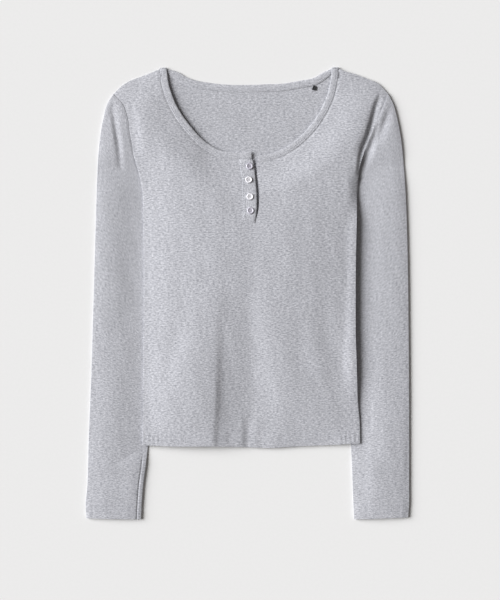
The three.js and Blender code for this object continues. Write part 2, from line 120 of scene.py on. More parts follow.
# %% Smooth lines
def smooth_line(places, steps=600):
    p = np.array(places, float)
    ends = np.vstack([2 * p[0] - p[1], p, 2 * p[-1] - p[-2]])
    knots = np.concatenate([[0], np.cumsum(np.linalg.norm(np.diff(ends, axis=0), axis=1) ** 0.5)])
    runs = []
    for i in range(1, len(ends) - 2):
        t0, t1, t2, t3 = knots[i - 1 : i + 3]
        p0, p1, p2, p3 = ends[i - 1 : i + 3]
        t = np.linspace(t1, t2, 40, endpoint=False)[:, None]
        a = (t1 - t) / (t1 - t0) * p0 + (t - t0) / (t1 - t0) * p1
        b = (t2 - t) / (t2 - t1) * p1 + (t - t1) / (t2 - t1) * p2
        c = (t3 - t) / (t3 - t2) * p2 + (t - t2) / (t3 - t2) * p3
        ab = (t2 - t) / (t2 - t0) * a + (t - t0) / (t2 - t0) * b
        bc = (t3 - t) / (t3 - t1) * b + (t - t1) / (t3 - t1) * c
        runs.append((t2 - t) / (t2 - t1) * ab + (t - t1) / (t2 - t1) * bc)
    line = np.vstack([*runs, p[-1:]])
    walked = np.concatenate([[0], np.cumsum(np.linalg.norm(np.diff(line, axis=0), axis=1))])
    even = np.linspace(0, walked[-1], steps + 1)
    return np.column_stack([np.interp(even, walked, line[:, k]) for k in range(p.shape[1])])


def on(line, share):
    step = np.clip(share, 0, 1) * (len(line) - 1)
    return [np.interp(step, np.arange(len(line)), line[:, k]) for k in range(line.shape[1])]


def length_of(line):
    return float(np.linalg.norm(np.diff(line, axis=0), axis=1).sum())


def ease(t):
    t = np.clip(t, 0, 1)
    return t * t * (3 - 2 * t)


def round_over(t):
    return np.sqrt(1 - (1 - np.clip(t, 0, 1)) ** 2)


def fold_over(away):
    """The round of a folded edge: a tight turn, then a slow climb."""
    return 0.12 * round_over(away / 0.9) + 0.88 * (1 - (1 - np.clip(away / 18, 0, 1)) ** 2)


side_line = {hand: smooth_line(SIDE[hand]) for hand in SIDE}
arm_line = {hand: smooth_line(ARMHOLE[hand]) for hand in ARMHOLE}
shoulder_line = {hand: smooth_line(SHOULDER[hand]) for hand in SHOULDER}
neck_line = {hand: smooth_line(NECK_FRONT[hand]) for hand in NECK_FRONT}
neck_line["back"] = smooth_line(NECK_BACK)
hem_line = smooth_line(HEM)
body_edge = {hand: np.vstack([side_line[hand], arm_line[hand][1:]]) for hand in SIDE}
placket = {
    key: smooth_line([(row[0], row[k]) for row in reversed(PLACKET)])
    for k, key in [(1, "sewn"), (2, "free"), (3, "other")]
}
print("hem", round(length_of(hem_line)), "mm; armhole", round(length_of(arm_line["right"])), "mm")

# %% [markdown]
# ## How high the cloth lies
# Laid flat, a top still holds air. The back lies on the table and climbs over the two hidden
# sleeve edges. The front is a low pillow over it and rolls down at each side fold. These
# helpers give the height of each layer at any place, so that every piece, stitch and button
# finds its seat with the same sum.


# %% Heights of the layers
def edge_x(hand, y):
    return np.interp(y, body_edge[hand][:, 1], body_edge[hand][:, 0])


def by_hand(x, y, of):
    return np.where(np.asarray(x) < 0, of("right", y), of("left", y))


def inside(x, y):
    return np.abs(by_hand(x, y, edge_x)) - np.abs(x)


def shoulder_y(x):
    right, left = shoulder_line["right"], shoulder_line["left"][::-1]
    return np.where(
        np.asarray(x) < 0,
        np.interp(x, right[:, 0], right[:, 1]),
        np.interp(x, left[:, 0], left[:, 1]),
    )


def hidden_reach(hand, y):
    rows = np.array(SLEEVE[hand])[::-1]
    return np.abs(np.interp(np.minimum(y, UNDERARM[hand] - 2), rows[:, 3], rows[:, 2]))


def back_under(x, y):
    x, y = np.asarray(x, float), np.asarray(y, float)
    underarm = np.where(x < 0, UNDERARM["right"], UNDERARM["left"])
    across = ease((np.abs(x) - (by_hand(x, y, hidden_reach) - 44)) / 32)
    above = 1 - ease((y - underarm - 26) / 40)
    near = ease((np.abs(x) - 118) / 40)
    lift_left = 7.0 * ease((y + 200) / 110) * ease((160 - y) / 60)
    lift_right = 0.3 * ease((y + 228) / 80)
    lift = np.where(x < 0, lift_right, lift_left)
    return (SLEEVE_UNDER + SEAM) * across * above + lift * near * above


def away_from(x, y, lines):
    """Distance to the nearest point of some lines."""
    near = np.full(np.shape(x), 1e9)
    for px, py in np.vstack(lines):
        near = np.minimum(near, (x - px) ** 2 + (y - py) ** 2)
    return np.sqrt(near)


HANDS = ("right", "left")
front_neck = [neck_line[hand][::4] for hand in HANDS]

# %% [markdown]
# The air under the front is written as a small table of heights, because no sum gives the shape
# a real top takes. It climbs from the wearer's right, is highest over the chest, sinks in the
# middle towards the hem, and falls away to the wearer's left and to the neck.

# %% Heights of the front, in millimetres
ACROSS = [-205, -175, -150, -125, -100, -75, -50, -25, 0, 25, 50, 75, 100, 125, 150, 180, 212]
HEIGHTS = {  # height up the body: the front's top at each place across
    -232: [5, 5.2, 5.4, 7.2, 8.8, 9.9, 9.9, 7.6, 5.8, 4.8, 4.5, 4.3, 4.2, 4.5, 4.8, 4.9, 4.9],
    -150: [6, 6.2, 6.8, 10.8, 14.0, 16.0, 14.9, 11.2, 8.6, 8.2, 9.8, 10.6, 10.4, 9.6, 8.6, 8.0, 8.0],
    -60: [6, 6.4, 7.2, 10.9, 13.6, 15.2, 15.5, 14.3, 13, 13.4, 14.2, 14.2, 13.3, 12.0, 10.9, 10, 10],
    40: [6, 6.4, 7.4, 11.5, 14.4, 16.3, 17.2, 16.9, 16.3, 16.7, 17.2, 17.0, 15.8, 13.9, 12, 11, 11],
    120: [6, 6.6, 7.6, 11.5, 14.2, 15.7, 16.2, 15.8, 15.3, 15.5, 16, 16, 15.2, 13.8, 12.2, 11.2, 11],
    190: [5.6, 6.0, 7.4, 10.4, 12.4, 12.9, 12.3, 11.4, 10.8, 10.6, 11, 11.6, 11.8, 11.5, 10.6, 9.8, 8],
    260: [5.6, 6.6, 8.6, 9.6, 9, 8, 8, 8, 8, 8, 8, 8, 8, 8.8, 9.0, 8.2, 6.0],
    340: [4, 4.4, 5.0, 5.4, 5.8, 6, 6, 6, 6, 6, 6, 6, 5.8, 5.4, 5.2, 5.0, 4.6],
}


def smooth_table(across, rows):
    """Heights on a fine grid, smooth both ways, from a few rows of them."""
    fine_x, fine_y = np.linspace(across[0], across[-1], 140), np.linspace(min(rows), max(rows), 200)
    lines = [smooth_line(list(zip(across, heights)), 300) for heights in rows.values()]
    by_row = np.array([np.interp(fine_x, line[:, 0], line[:, 1]) for line in lines])
    whole = []
    for column in by_row.T:
        line = smooth_line(list(zip(rows, column)), 300)
        whole.append(np.interp(fine_y, line[:, 0], line[:, 1]))
    return fine_x, fine_y, np.array(whole)


table_x, table_y, table_z = smooth_table(ACROSS, HEIGHTS)


def table_height(x, y):
    i = np.interp(x, table_x, np.arange(len(table_x)))
    j = np.interp(y, table_y, np.arange(len(table_y)))
    i0, j0 = np.minimum(i.astype(int), len(table_x) - 2), np.minimum(j.astype(int), len(table_y) - 2)
    a, b = i - i0, j - j0
    low = table_z[i0, j0] * (1 - a) + table_z[i0 + 1, j0] * a
    high = table_z[i0, j0 + 1] * (1 - a) + table_z[i0 + 1, j0 + 1] * a
    return low * (1 - b) + high * b


SEAM_TOP = 4.9  # the front's height where the sleeve is sewn on


def air(x, y):
    """How far the front stands over the back, beyond the two layers of cloth."""
    x, y = np.asarray(x, float), np.asarray(y, float)
    underarm = np.where(x < 0, UNDERARM["right"], UNDERARM["left"])
    two_layers = back_under(x, y) + 2 * WALL
    neck_top = 3.9 + 2.6 * ease((-50 - x) / 45)
    top = neck_top + (table_height(x, y) - neck_top) * ease(away_from(x, y, front_neck) / 62)
    at_arm = ease((y - underarm - 40) / 40) * (1 - ease(inside(x, y) / 20))
    rise = top + (SEAM_TOP - top) * at_arm - two_layers - SEAM
    rise = 0.3 + np.logaddexp(0, (rise - 0.3) / 0.5) * 0.5
    arm = ease((y - underarm - 10) / 50)
    side = arm + (1 - arm) * fold_over(inside(x, y))
    shoulder = np.where(np.abs(x) > 112, shoulder_y(x) - y, 60)
    neck_point = 1.2 * ease((165 - np.abs(x)) / 32) * ease((y - 300) / 20)
    seam_side = np.clip(shoulder / 42, 0, 1)
    closed = 0.08 * round_over(shoulder / 0.9) + 0.92 * (1 - (1 - seam_side) ** 1.5)
    return SEAM + neck_point + (side * rise - neck_point) * closed


# %% [markdown]
# ## Folds that the cloth keeps
# A knit top keeps soft troughs and ridges where it was folded, worn and smoothed down by hand.
# Each row names the line a fold runs along, how wide its two flanks are, and how high or deep it
# is. One flank is often steeper than the other, which is what catches the light.

# %% Fold tables: line, width of the flank towards -X, towards +X, height
BODY_FOLDS = [
    ([(-40, -60), (-41, -130), (-43, -180), (-48, -250)], 1.8, 24, -1.7),
    ([(0, -188), (-2, -210), (-3, -250)], 2.0, 7, -1.4),
    ([(18, -206), (20, -250)], 2, 6, -0.9),
    ([(-26, -208), (-28, -233)], 2.5, 5, -0.4),
    ([(2, 8), (3, -43), (9, -105), (3, -193), (7, -231)], 13, 9, -0.8),
    ([(27, -6), (34, -55), (42, -130), (48, -193), (44, -231)], 9, 16, 0.9),
    ([(-64, -3), (-68, -40), (-80, -78), (-96, -110), (-108, -150), (-122, -205)], 12, 20, 1.0),
    ([(-104, -40), (-112, -88), (-121, -125)], 7, 9, -0.5),
    ([(112, -28), (119, -60), (129, -105), (133, -140), (147, -178)], 8, 12, -0.9),
    ([(57, -20), (72, -42), (79, -100), (92, -138), (104, -182)], 8, 12, -0.5),
    ([(-38, 118), (-36, 92)], 9, 12, -0.35),
]
SHOULDER_FOLDS = [
    ([(196, 290), (192.5, 282), (186, 257), (178, 232), (172, 217), (168, 198), (166, 178)],
     2.1, 3.1, -4.0),
    ([(186, 262), (178, 240), (168, 215), (163, 196)], 4, 4, 0.9),
]
SLEEVE_FOLDS = {
    "right": [
        ([(-203, 276), (-200, 262), (-197, 243), (-194, 225), (-192, 206), (-191, 190)],
         2.6, 4, -2.3),
        ([(-196, 262), (-190, 230), (-187, 200)], 5, 4, 0.5),
        ([(-186, 186), (-187, 150), (-185, 106), (-182, 64), (-182, -10), (-212, -118)],
         11, 14, -0.8),
    ],
    "left": [
        ([(195, 250), (188, 229), (179, 207), (171, 189), (167, 172)], 3, 4.8, -3.4),
        ([(211, 272), (208, 262), (203, 248), (196, 226)], 3, 5, -2.2),
        ([(205, 256), (198, 236), (190, 214)], 4, 4, 0.6),
        ([(203, 150), (200, 60), (203, -40), (206, -130)], 13, 16, -0.5),
        ([(186, -215), (190, -262), (192, -330)], 8, 26, 1.6),
    ],
}


def folded(x, y, folds):
    x, y = np.asarray(x, float), np.asarray(y, float)
    total = np.zeros_like(x)
    for places, toward_minus, toward_plus, height in folds:
        line = smooth_line(places, 48)
        near = np.full(x.shape, 1e9)
        side = np.zeros_like(x)
        share = np.zeros_like(x)
        for k, (px, py) in enumerate(line):
            away = (x - px) ** 2 + (y - py) ** 2
            closer = away < near
            near = np.where(closer, away, near)
            side = np.where(closer, x - px, side)
            share = np.where(closer, k / 48, share)
        width = np.where(side < 0, toward_minus, toward_plus)
        taper = np.sin(np.pi * np.clip(share * 0.86 + 0.07, 0, 1)) ** 0.6
        total += height * taper * np.exp(-near / (2 * width**2))
    return total


# %% [markdown]
# Between those folds cloth is never dead flat. A few long, faint waves, drawn once from a seeded
# list of directions, keep the light from reading the panels as card.

# %% Faint waves
waves = np.random.default_rng(7).uniform(-1, 1, (14, 4))


def gentle(x, y, height=0.16):
    total = np.zeros_like(np.asarray(x, float))
    for a, b, c, d in waves:
        pitch = 28 + 34 * abs(c)
        total += np.sin((x * (0.55 + a) + y * 0.7 * b) * 2 * np.pi / pitch + 6.3 * d)
    return total * height / 3.4


def front_top(x, y):
    shape = back_under(x, y) + WALL + air(x, y) + WALL
    calm = ease(inside(x, y) / 14)
    return shape + calm * (folded(x, y, BODY_FOLDS) + gentle(x, y)) + folded(x, y, SHOULDER_FOLDS)


print("front top at the middle", round(float(front_top(np.array([0.0]), np.array([0.0]))[0]), 1))

# %% [markdown]
# ## From a flat grid to a cloth
# A sheet of cloth starts as a flat grid, like cloth on a table. Each corner of the grid is then
# carried to its place, its distance across and along kept as the piece's own coordinates for the
# knit. The thickness is added at the end, downwards, so the seen side stays where it was put.


# %% Laying out a sheet
def finish_piece(bm, name, material, shade_smooth=True):
    mesh = bpy.data.meshes.new(name)
    bm.to_mesh(mesh)
    bm.free()
    piece = bpy.data.objects.new(name, mesh)
    bpy.context.scene.collection.objects.link(piece)
    if shade_smooth:
        mesh.shade_smooth()
        mesh.set_sharp_from_angle(angle=math.radians(48))
    mesh.materials.append(material)
    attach(piece, "root")
    return piece


def lay_sheet(across, along, place, cut=None, round_closed=False, thick=WALL):
    """A grid carried by place(s, t), which gives x, y, z and the knit's u, v in millimetres."""
    bm = bmesh.new()
    bmesh.ops.create_grid(bm, x_segments=across, y_segments=along, size=0.5)
    bm.verts.ensure_lookup_table()
    flat = np.array([v.co[:2] for v in bm.verts])
    flat = (flat - flat.min(0)) / (flat.max(0) - flat.min(0))
    x, y, z, u, v = place(flat[:, 0], flat[:, 1])
    knit = bm.loops.layers.uv.new("knit")
    for vert, px, py, pz in zip(bm.verts, x, y, z):
        vert.co = (px * MM, py * MM, pz * MM)
    for face in bm.faces:
        for loop in face.loops:
            k = loop.vert.index
            loop[knit].uv = (u[k] * MM, v[k] * MM)
    if cut is not None:
        centres = {f: np.mean([flat[v.index] for v in f.verts], axis=0) for f in bm.faces}
        away = [f for f, c in centres.items() if cut(c[0], c[1])]
        bmesh.ops.delete(bm, geom=away, context="FACES")
    if round_closed:
        bmesh.ops.remove_doubles(bm, verts=bm.verts, dist=0.00002)
    bmesh.ops.recalc_face_normals(bm, faces=bm.faces)
    top = max(bm.faces, key=lambda f: f.calc_center_median().z)
    if top.normal.z < 0:
        bmesh.ops.reverse_faces(bm, faces=bm.faces)
    give_thickness(bm, thick)
    return bm


def give_thickness(bm, thick):
    """A second layer under the seen one, joined to it round every raw edge."""
    bm.normal_update()
    inward = {v: v.normal * thick * MM for v in bm.verts}
    for vert in bm.verts:  # a raw edge leans in a little under the seen side
        if vert.is_boundary:
            middle = sum((f.calc_center_median() for f in vert.link_faces), vert.co * 0)
            lean = middle / len(vert.link_faces) - vert.co
            lean.z = 0
            if lean.length > 0:
                inward[vert] = inward[vert] - lean.normalized() * 0.7 * thick * MM
    rims = [(f, loop.vert, loop.link_loop_next.vert)
            for f in bm.faces for loop in f.loops if loop.edge.is_boundary]
    made = bmesh.ops.duplicate(bm, geom=bm.verts[:] + bm.edges[:] + bm.faces[:])
    under = {v: made["vert_map"][v] for v in inward}
    for vert, away in inward.items():
        under[vert].co = vert.co - away
        under[vert].co.z = max(under[vert].co.z, 0.02 * MM)
    bmesh.ops.reverse_faces(bm, faces=[g for g in made["geom"] if isinstance(g, bmesh.types.BMFace)])
    knit = bm.loops.layers.uv.active
    for face, a, b in rims:
        mark = {loop.vert: loop[knit].uv.copy() for loop in face.loops}
        edge = bm.faces.new((b, a, under[a], under[b]))
        for loop, vert in zip(edge.loops, (b, a, a, b)):
            loop[knit].uv = mark[vert]


# %% [markdown]
# ## Grey heather rib
# Heather yarn is spun from dark and pale fibres together, so the cloth is a fine, uneven speckle
# and not a flat grey. The rib knit adds upright furrows about a millimetre and a half apart. The
# speckle is two noises, one drawn out sideways as stitches lie, and a wave gives the furrows.
# All of it follows the knit's own coordinates, so it turns with each sleeve.


# %% The knit material
def plain_material(name):
    made = bpy.data.materials.new(name)
    made.use_nodes = True
    tree = made.node_tree
    shader = tree.nodes["Principled BSDF"]
    return made, tree, shader


def node(tree, kind, **values):
    made = tree.nodes.new(kind)
    for key, value in values.items():
        setattr(made, key, value)
    return made


def noise_at(tree, source, across, along, detail=2.0, rough=0.6):
    """A noise whose grains are the given number of millimetres across and along the knit."""
    mapping = node(tree, "ShaderNodeMapping")
    mapping.inputs["Scale"].default_value = (1 / (across * MM), 1 / (along * MM), 1)
    tree.links.new(source, mapping.inputs["Vector"])
    noise = node(tree, "ShaderNodeTexNoise")
    noise.inputs["Scale"].default_value = 1.0
    noise.inputs["Detail"].default_value = detail
    noise.inputs["Roughness"].default_value = rough
    tree.links.new(mapping.outputs["Vector"], noise.inputs["Vector"])
    return noise.outputs["Fac"]


def blend_numbers(tree, a, b, share):
    made = node(tree, "ShaderNodeMix", data_type="FLOAT")
    made.inputs["Factor"].default_value = share
    tree.links.new(a, made.inputs["A"])
    tree.links.new(b, made.inputs["B"])
    return made.outputs["Result"]


def knit_material(name, dark, pale, rib_depth=0.22, tight=0.16):
    made, tree, shader = plain_material(name)
    knit = node(tree, "ShaderNodeUVMap", uv_map="knit").outputs["UV"]
    streaks = noise_at(tree, knit, 4.8, 1.9)
    flecks = noise_at(tree, knit, 2.7, 1.6, detail=3.0)
    clouds = noise_at(tree, knit, 26, 30)
    speckle = blend_numbers(tree, streaks, flecks, 0.5)
    fibre = node(tree, "ShaderNodeMapRange")
    fibre.inputs["From Min"].default_value = 0.5 - tight
    fibre.inputs["From Max"].default_value = 0.5 + tight
    tree.links.new(speckle, fibre.inputs["Value"])
    colour = node(tree, "ShaderNodeMix", data_type="RGBA")
    colour.inputs["A"].default_value = (*dark, 1)
    colour.inputs["B"].default_value = (*pale, 1)
    tree.links.new(fibre.outputs["Result"], colour.inputs["Factor"])
    worn = node(tree, "ShaderNodeMapRange")
    worn.inputs["From Min"].default_value = 0.3
    worn.inputs["From Max"].default_value = 0.7
    worn.inputs["To Min"].default_value = 0.965
    worn.inputs["To Max"].default_value = 1.03
    tree.links.new(clouds, worn.inputs["Value"])
    shade = node(tree, "ShaderNodeMix", data_type="RGBA", blend_type="MULTIPLY")
    shade.inputs["Factor"].default_value = 1.0
    tree.links.new(colour.outputs["Result"], shade.inputs["A"])
    tree.links.new(worn.outputs["Result"], shade.inputs["B"])
    tree.links.new(shade.outputs["Result"], shader.inputs["Base Color"])
    rib = node(tree, "ShaderNodeTexWave", wave_type="BANDS", bands_direction="X")
    rib.inputs["Scale"].default_value = 2 * math.pi / (20 * 1.5 * MM)
    rib.inputs["Distortion"].default_value = 0.6
    rib.inputs["Detail"].default_value = 1.0
    tree.links.new(knit, rib.inputs["Vector"])
    relief = blend_numbers(tree, rib.outputs["Fac"], speckle, 0.45)
    bump = node(tree, "ShaderNodeBump")
    bump.inputs["Strength"].default_value = 0.75
    bump.inputs["Distance"].default_value = rib_depth * MM
    tree.links.new(relief, bump.inputs["Height"])
    tree.links.new(bump.outputs["Normal"], shader.inputs["Normal"])
    rough = node(tree, "ShaderNodeMapRange")
    rough.inputs["To Min"].default_value = 0.82
    rough.inputs["To Max"].default_value = 0.98
    tree.links.new(flecks, rough.inputs["Value"])
    tree.links.new(rough.outputs["Result"], shader.inputs["Roughness"])
    shader.inputs["Specular IOR Level"].default_value = 0.2
    shader.inputs["Sheen Weight"].default_value = 0.12
    shader.inputs["Sheen Roughness"].default_value = 0.5
    return made


heather = knit_material("heather_knit", (0.25, 0.255, 0.285), (0.665, 0.67, 0.71))
trim = knit_material("heather_strip", (0.27, 0.275, 0.305), (0.675, 0.68, 0.72), rib_depth=0.15)
print("materials", heather.name, trim.name)

# %% [markdown]
# ## Thread, pearl and tape
# The small finishes: a twisted polyester thread a shade paler than the cloth, buttons cut from a
# milky, slightly lilac pearl sheet, and a bit of plain black tape at the back of the neck. The
# pearl comes in two copies: a whiter one with painted light and a greyer one with painted shade.
# Each has its own grain, because even small trims read as toys when they are one flat colour.


# %% Small finishes
def object_noise(tree, grain, detail=2.0):
    place = node(tree, "ShaderNodeTexCoord").outputs["Object"]
    return noise_at(tree, place, grain, grain, detail)


def ramp_between(tree, fac, low, high, start=0.35, stop=0.65):
    ramp = node(tree, "ShaderNodeValToRGB")
    ramp.color_ramp.elements[0].position = start
    ramp.color_ramp.elements[1].position = stop
    ramp.color_ramp.elements[0].color = (*low, 1)
    ramp.color_ramp.elements[1].color = (*high, 1)
    tree.links.new(fac, ramp.inputs["Fac"])
    return ramp.outputs["Color"]


def grained_material(name, low, high, grain, rough, bump_depth, **sockets):
    made, tree, shader = plain_material(name)
    noise = object_noise(tree, grain)
    tree.links.new(ramp_between(tree, noise, low, high), shader.inputs["Base Color"])
    bump = node(tree, "ShaderNodeBump")
    bump.inputs["Strength"].default_value = 0.6
    bump.inputs["Distance"].default_value = bump_depth * MM
    tree.links.new(noise, bump.inputs["Height"])
    tree.links.new(bump.outputs["Normal"], shader.inputs["Normal"])
    spread = node(tree, "ShaderNodeMapRange")
    spread.inputs["To Min"].default_value = rough * 0.85
    spread.inputs["To Max"].default_value = min(rough * 1.15, 1)
    tree.links.new(noise, spread.inputs["Value"])
    tree.links.new(spread.outputs["Result"], shader.inputs["Roughness"])
    for key, value in sockets.items():
        shader.inputs[key.replace("_", " ")].default_value = value
    return made


thread = grained_material("sewing_thread", (0.36, 0.365, 0.4), (0.52, 0.525, 0.56), 0.5, 0.7, 0.05)
# One pearl in two copies: the first is whitened as painted light, the second greyed as painted shade
pearl = grained_material("pearl_with_painted_light", (0.74, 0.73, 0.78), (0.93, 0.92, 0.95), 2.6, 0.2, 0.03,
                         Coat_Weight=0.6, Coat_Roughness=0.12)
pearl_painted_shade = grained_material("pearl_with_painted_shade", (0.5, 0.485, 0.56), (0.66, 0.64, 0.72), 2.6, 0.24, 0.03,
                             Coat_Weight=0.45, Coat_Roughness=0.16)
tape = grained_material("black_tape", (0.008, 0.008, 0.009), (0.03, 0.03, 0.033), 0.4, 0.85, 0.08)
table_top = grained_material("pale_table", (0.79, 0.788, 0.785), (0.8, 0.798, 0.795), 4, 0.95, 0.02)

# %% [markdown]
# ## The seams as cut lines
# The neck strip is sewn to the panels a strip's width away from the free edge of the neck, so
# the panels stop there. That line is the free edge moved sideways. Near each neck point it bends
# to meet the shoulder seam, because there the strip turns from the front over to the back.


# %% Where the neck strip is sewn on
def beside(line, amount):
    way = np.gradient(line, axis=0)
    way /= np.linalg.norm(way, axis=1)[:, None]
    return line + amount * np.column_stack([-way[:, 1], way[:, 0]])


def sewn_line(place, gap=0.0):
    free = neck_line[place]
    width = BINDING_WIDTH + gap
    line = beside(free, width if place == "left" else -width)
    walked = np.linspace(0, length_of(free), len(free))
    for hand, away in {"right": walked, "left": walked[-1] - walked}.items():
        if place == "back":
            pull = (1 - ease(away / 18))[:, None]
        elif place == hand:
            pull = (1 - ease(walked / 12))[:, None]
        else:
            continue
        neck_end = 0 if place != "back" or hand == "right" else -1
        inward = gap - SEAM if hand == "left" else SEAM - gap
        target = shoulder_line[hand][-1] + [inward, 0]
        straight = free + (target - free[neck_end])
        line = line * (1 - pull) + straight * pull
    return line


def piecewise(share, parts):
    """x and y along several lines in turn: parts are (where it starts, line, reversed)."""
    stops = [start for start, _, _ in parts[1:]] + [1.0]
    x, y = np.zeros_like(share), np.zeros_like(share)
    for (start, line, backwards), stop in zip(parts, stops):
        within = (share >= start) & (share <= stop)
        local = (share - start) / (stop - start)
        px, py = on(line, 1 - local if backwards else local)
        x, y = np.where(within, px, x), np.where(within, py, y)
    return x, y


SHOULDER_SHARE = 0.17
front_sewn = {hand: sewn_line(hand, SEAM) for hand in ("right", "left")}
mouth = np.array([front_sewn["right"][-1], front_sewn["left"][-1]])
front_head = [
    (0, shoulder_line["right"], False),
    (SHOULDER_SHARE, front_sewn["right"], False),
    (0.478, mouth, False),
    (0.506, front_sewn["left"], True),
    (1 - SHOULDER_SHARE, shoulder_line["left"], True),
]
back_head = [
    (0, shoulder_line["right"], False),
    (SHOULDER_SHARE, sewn_line("back", SEAM), False),
    (1 - SHOULDER_SHARE, shoulder_line["left"], True),
]


def panel_plan(s, t, head):
    foot_x, foot_y = on(hem_line, s)
    head_x, head_y = piecewise(s, head)
    x = foot_x + (head_x - foot_x) * t
    y = foot_y + (head_y - foot_y) * t
    ends = {"right": (hem_line[0], shoulder_line["right"][0], np.clip(1 - s / SHOULDER_SHARE, 0, 1)),
            "left": (hem_line[-1], shoulder_line["left"][0],
                     np.clip(1 - (1 - s) / SHOULDER_SHARE, 0, 1))}
    for hand, (low, high, share) in ends.items():
        straight_x = low[0] + (high[0] - low[0]) * t
        straight_y = low[1] + (high[1] - low[1]) * t
        x = x + share * (edge_x(hand, straight_y) - straight_x)
    return x, y


def crowd_to_folds(s, pull=0.62):
    return s - pull * np.sin(2 * np.pi * s) / (2 * np.pi)


# %% [markdown]
# ## The front panel
# The front is one piece of rib with a short slit for the buttons. Its columns are crowded
# towards the two side folds, where the cloth turns over, and one column is pulled on to the
# slit's edge, so that the cut is a clean line. The hem is turned up and so is a little thicker.


# %% Hem, seam and edge details on the front
def hem_height(x, y):
    """How far above the hem's edge a place is."""
    return y - np.interp(x, hem_line[:, 0], hem_line[:, 1])


neck_seam = [front_sewn[hand][::3] for hand in HANDS]
arm_seam = [arm_line[hand][::4] for hand in HANDS]
HEM_ROWS = (8.5, 14.0)
pucker = np.random.default_rng(11).uniform(0.6, 1.4, 90)


def front_surface(x, y):
    z = front_top(x, y)
    up = hem_height(x, y)
    z = z + 0.22 * (1 - ease((up - 14.5) / 3))
    for row in HEM_ROWS:
        z = z - 0.32 * np.exp(-((up - row) ** 2) / 1.1)
    beat = np.interp(x, np.linspace(-165, 175, 90), pucker)
    ripple = np.sin(x * 2 * np.pi / 6.3 + 1.4 * np.sin(x / 17)) * beat
    z = z + 0.17 * ripple * np.exp(-((up - 9) ** 2) / 60)
    for px, py in [(-28, -217), (12, -217), (53, -217)]:
        z = z - 0.5 * np.exp(-((x - px) ** 2) / 7 - ((y - py) ** 2) / 26)
    z = z - 0.45 * np.exp(-((away_from(x, y, neck_seam) / 1.8) ** 2))
    z = z - 0.25 * np.exp(-((away_from(x, y, arm_seam) / 1.3) ** 2))
    sewn = np.interp(y, placket["sewn"][:, 0], placket["sewn"][:, 1])
    return z - 0.7 * np.exp(-(((x - sewn + 0.7) / 0.8) ** 2)) * ease((y - 98) / 6)


COLUMNS, ROWS = 150, 262
SLIT_FOOT = (109 + 229) / (200 + 229)
columns = np.arange(COLUMNS + 1) / COLUMNS
SLIT_EDGES = {"under the strip": -3.0, "other front": 17.0}


def column_near(place):
    """The grid column that already runs closest to a place, half way up the slit."""
    x, _ = panel_plan(crowd_to_folds(columns), np.full_like(columns, 0.885), front_head)
    return columns[np.abs(x - place).argmin()]


slit_left, slit_right = (column_near(place) for place in SLIT_EDGES.values())


def front_place(s, t):
    x, y = panel_plan(crowd_to_folds(s), t, front_head)
    shifts = []
    for column in (slit_left, slit_right):
        own_x, own_y = panel_plan(crowd_to_folds(np.full_like(s, column)), t, front_head)
        wanted = np.interp(own_y, placket["other"][:, 0], placket["other"][:, 1])
        wanted = wanted if column == slit_right else np.full_like(s, -3.0)
        shifts.append((wanted - own_x) * ease((own_y - 84) / 18))
    left, right = shifts
    along = np.clip((s - slit_left) / (slit_right - slit_left), 0, 1)
    near = np.clip(1 - (slit_left - s) / 0.05, 0, 1) * np.clip(1 - (s - slit_right) / 0.05, 0, 1)
    x = x + (left * (1 - along) + right * along) * near
    return x, y, front_surface(x, y), x, y


def in_slit(s, t):
    return slit_left < s < slit_right and t > SLIT_FOOT


cloth = lay_sheet(COLUMNS, ROWS, front_place, cut=in_slit)
front = finish_piece(cloth, "cloth_front", heather)
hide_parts("body_front")
print("front triangles", 2 * len(front.data.polygons))

# %% [markdown]
# ## The back panel
# The back is the same cut with a shallow neck. Only its inside shows, through the neck, but it
# also carries the whole top, so it lies on the table and ramps over the sleeves' hidden edges.

# %% The back panel
def back_place(s, t):
    x, y = panel_plan(crowd_to_folds(s), t, back_head)
    z = back_under(x, y) + WALL
    inner = ease(inside(x, y) / 20) * ease((y + 190) / 60)
    return x, y, z + inner * np.maximum(0, 0.12 + gentle(x, y, 0.12)), x, y


back = finish_piece(lay_sheet(120, 190, back_place), "cloth_back", heather)
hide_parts("body_back")
print("back triangles", 2 * len(back.data.polygons))

# %% [markdown]
# ## The sleeves
# A sleeve is one piece closed into a tube, set into the armhole and pressed flat. The grid goes
# all the way round: over the top from the outer fold to the inner one, and back underneath. The
# two ends of the grid then meet at the outer fold and are merged. Its first ring is the armhole.

# %% Sleeve plan and height
sleeve_rows = {hand: smooth_line(SLEEVE[hand]) for hand in SLEEVE}
CUFF_HEM = 23
CUFF_ROWS = (CUFF_HEM - 1.5, CUFF_HEM - 7)
TUCK = 0.4  # how far the sleeve's raw edge runs under the body's


def sleeve_plan(hand, u, v):
    out_x, out_y, in_x, in_y, curved = on(sleeve_rows[hand], v)
    arm = beside(arm_line[hand][::-1], TUCK if hand == "right" else -TUCK)
    arm_x, arm_y = on(arm, u)
    chord = arm[-1] - arm[0]
    off_x, off_y = arm_x - arm[0][0], arm_y - arm[0][1]
    span = float(chord @ chord)
    along = (off_x * chord[0] + off_y * chord[1]) / span
    side = (off_y * chord[0] - off_x * chord[1]) / span * curved
    along = u + (along - u) * curved
    way_x, way_y = in_x - out_x, in_y - out_y
    x = out_x + along * way_x - side * way_y
    y = out_y + along * way_y + side * way_x
    return x, y, np.hypot(way_x, way_y)


def sleeve_tall(hand, x, y):
    out = np.abs(x) - np.abs(edge_x(hand, y))
    beyond = np.maximum.reduce([
        ease((out - 1) / 44) * ease((UNDERARM[hand] + 60 - y) / 60),
        ease((y - UNDERARM[hand] - 34) / 40),
        ease((-233 - y) / 25),
    ])
    return SLEEVE_UNDER + (SLEEVE_HEIGHT - SLEEVE_UNDER) * beyond


